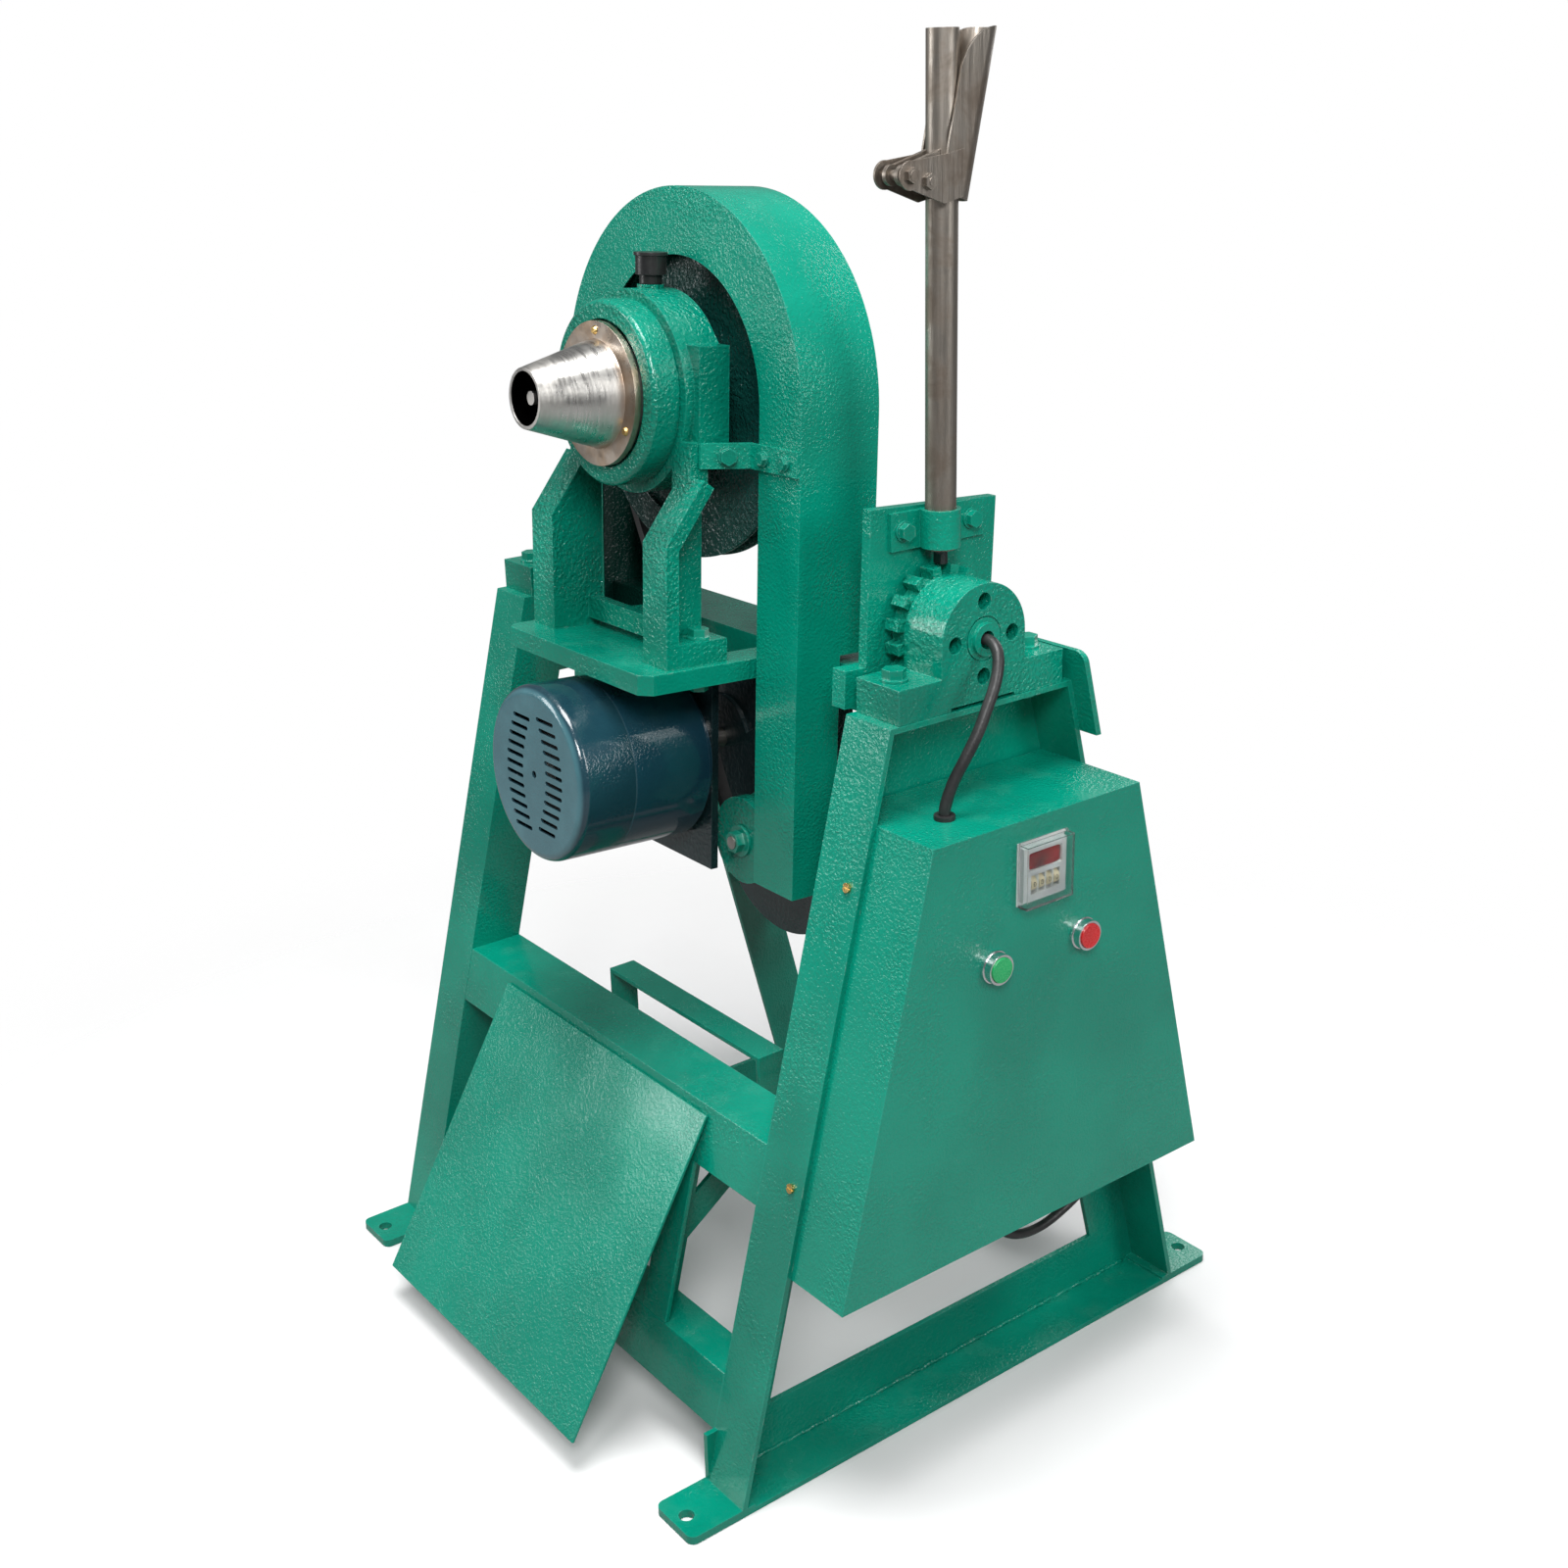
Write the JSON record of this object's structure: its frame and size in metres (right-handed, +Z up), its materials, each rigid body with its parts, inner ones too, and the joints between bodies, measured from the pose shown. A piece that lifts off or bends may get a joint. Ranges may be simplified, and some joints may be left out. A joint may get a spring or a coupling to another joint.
{
  "type": "tilting laboratory mill stand",
  "caption": "Belt-driven taper spindle on a head that tilts between two A-shaped side frames, with a latch lever, control box and discharge plate.",
  "frame": {"origin": "middle of the four foot bolt holes, on the floor", "axes": "+Z up, +X towards the control box, -Y towards the operator, the discharge plate and the spindle's nose"},
  "size_m": [0.721, 0.6976, 1.2159],
  "materials": {
    "green_enamel": "orange-peel gloss enamel on steel plate and angle",
    "green_casting": "gloss enamel on rough sand castings",
    "motor_enamel": "smooth dark blue-grey gloss enamel",
    "dark_enamel": "dull dark enamel",
    "machined_steel": "turned and ground steel",
    "bare_steel": "bare drawn steel with light staining",
    "black_steel": "blackened steel",
    "brass": "plain brass",
    "black_plastic": "moulded black plastic",
    "rubber": "black rubber",
    "chrome": "polished plating",
    "green_plastic": "moulded green plastic",
    "red_plastic": "moulded red plastic",
    "clear_plastic": "clear moulded cover",
    "ivory_plastic": "moulded ivory plastic"
  },
  "bodies": {
    "stand": {"side_frame_right": "green_enamel", "side_frame_left": "green_enamel", "crossbars": "green_enamel", "front_lower_bar": "green_enamel", "posts": "green_enamel", "strap_stay": "green_enamel", "chute_plate": "green_enamel", "rear_stop_plate": "green_enamel", "pillow_block_right": "green_casting", "pillow_block_left": "green_casting", "index_wheel": "green_casting", "block_bolts": "green_enamel", "control_box": "green_enamel", "box_back_plate": "green_enamel", "box_screws": "brass", "contactor": "black_plastic", "button_bezels": "chrome", "timer_case": "black_plastic", "box_grommets": "rubber", "head_lead": "rubber", "supply_loop": "rubber"},
    "head": {"head_base": "green_enamel", "lever_cheek": "green_enamel", "plain_cheek": "green_enamel", "trunnions": "green_enamel", "belt_guard": "green_enamel", "guard_straps": "green_enamel", "bearing_pedestal": "green_casting", "head_bolts": "green_enamel", "bearing_cover": "green_casting", "spindle_bearings": "machined_steel", "drive_belt": "rubber", "motor_plate": "dark_enamel", "motor_frame": "motor_enamel", "stator": "machined_steel", "fan_cover": "motor_enamel", "gear_case": "dark_enamel", "lever_tube": "bare_steel", "lever_clamp": "green_enamel", "latch_spring": "bare_steel"},
    "spindle": {"spindle_shaft": "machined_steel", "taper_nose": "machined_steel", "nose_screws": "brass", "large_pulley": "green_casting"},
    "output": {"output_shaft": "machined_steel", "output_gear": "machined_steel", "small_pulley": "green_casting", "pulley_nut": "green_enamel"},
    "rotor": {"motor_rotor": "machined_steel", "cooling_fan": "black_plastic"},
    "latch": {"latch_rod": "black_steel"},
    "grip": {"grip_channel": "bare_steel"},
    "filler": {"filler_cap": "black_plastic"},
    "start": {"start_button": "green_plastic"},
    "stop": {"stop_button": "red_plastic"},
    "cover": {"timer_cover": "clear_plastic"},
    "wheel_1": {"thumbwheel_1": "ivory_plastic"},
    "wheel_2": {"thumbwheel_2": "ivory_plastic"},
    "wheel_3": {"thumbwheel_3": "ivory_plastic"},
    "wheel_4": {"thumbwheel_4": "ivory_plastic"}
  },
  "joints": [
    {"name": "head_tilt", "type": "hinge", "parent": "stand", "child": "head", "pos_m": [0, 0, 0.745], "axis": [1, 0, 0], "range_deg": [-45, 90]},
    {"name": "spindle_spin", "type": "hinge", "parent": "head", "child": "spindle", "pos_m": [0, 0.00926, 0.92176], "axis": [0, -0.9986, 0.0523], "continuous": true},
    {"name": "output_spin", "type": "hinge", "parent": "head", "child": "output", "pos_m": [0.1, -0.01169, 0.52197], "axis": [0, -0.9986, 0.0523], "continuous": true},
    {"name": "rotor_spin", "type": "hinge", "parent": "head", "child": "rotor", "pos_m": [0, -0.00822, 0.58822], "axis": [0, -0.9986, 0.0523], "continuous": true},
    {"name": "grip_squeeze", "type": "hinge", "parent": "head", "child": "grip", "pos_m": [0.263, -0.046, 1.11], "axis": [1, 0, 0], "range_deg": [-12, 12], "stiffness_Nm_per_rad": 20},
    {"name": "latch_slide", "type": "slide", "parent": "head", "child": "latch", "axis": [0, 0, 1], "range_m": [-0.0042, 0.0039], "deforming": ["latch_spring"]},
    {"name": "filler_cap_pull", "type": "slide", "parent": "head", "child": "filler", "axis": [0, 0.0523, 0.9986], "range_m": [0, 0.02]},
    {"name": "start_press", "type": "slide", "parent": "stand", "child": "start", "axis": [-1, 0, 0], "range_m": [0, 0.0035], "stiffness_N_per_m": 400},
    {"name": "stop_press", "type": "slide", "parent": "stand", "child": "stop", "axis": [-1, 0, 0], "range_m": [0, 0.0035], "stiffness_N_per_m": 400},
    {"name": "cover_open", "type": "hinge", "parent": "stand", "child": "cover", "pos_m": [0.3906, 0, 0.591], "axis": [0, -1, 0], "range_deg": [0, 100]},
    {"name": "wheel_1_turn", "type": "hinge", "parent": "stand", "child": "wheel_1", "pos_m": [0.387, -0.0129, 0.5535], "axis": [0, 1, 0], "continuous": true},
    {"name": "wheel_2_turn", "type": "hinge", "parent": "stand", "child": "wheel_2", "pos_m": [0.387, -0.0043, 0.5535], "axis": [0, 1, 0], "continuous": true},
    {"name": "wheel_3_turn", "type": "hinge", "parent": "stand", "child": "wheel_3", "pos_m": [0.387, 0.0043, 0.5535], "axis": [0, 1, 0], "continuous": true},
    {"name": "wheel_4_turn", "type": "hinge", "parent": "stand", "child": "wheel_4", "pos_m": [0.387, 0.0129, 0.5535], "axis": [0, 1, 0], "continuous": true}
  ],
  "couplings": [
    {"joint": "output_spin", "follows": "spindle_spin", "ratio": 4},
    {"joint": "rotor_spin", "follows": "spindle_spin", "ratio": -12},
    {"joint": "latch_slide", "follows": "grip_squeeze", "m_per_rad": 0.018}
  ]
}
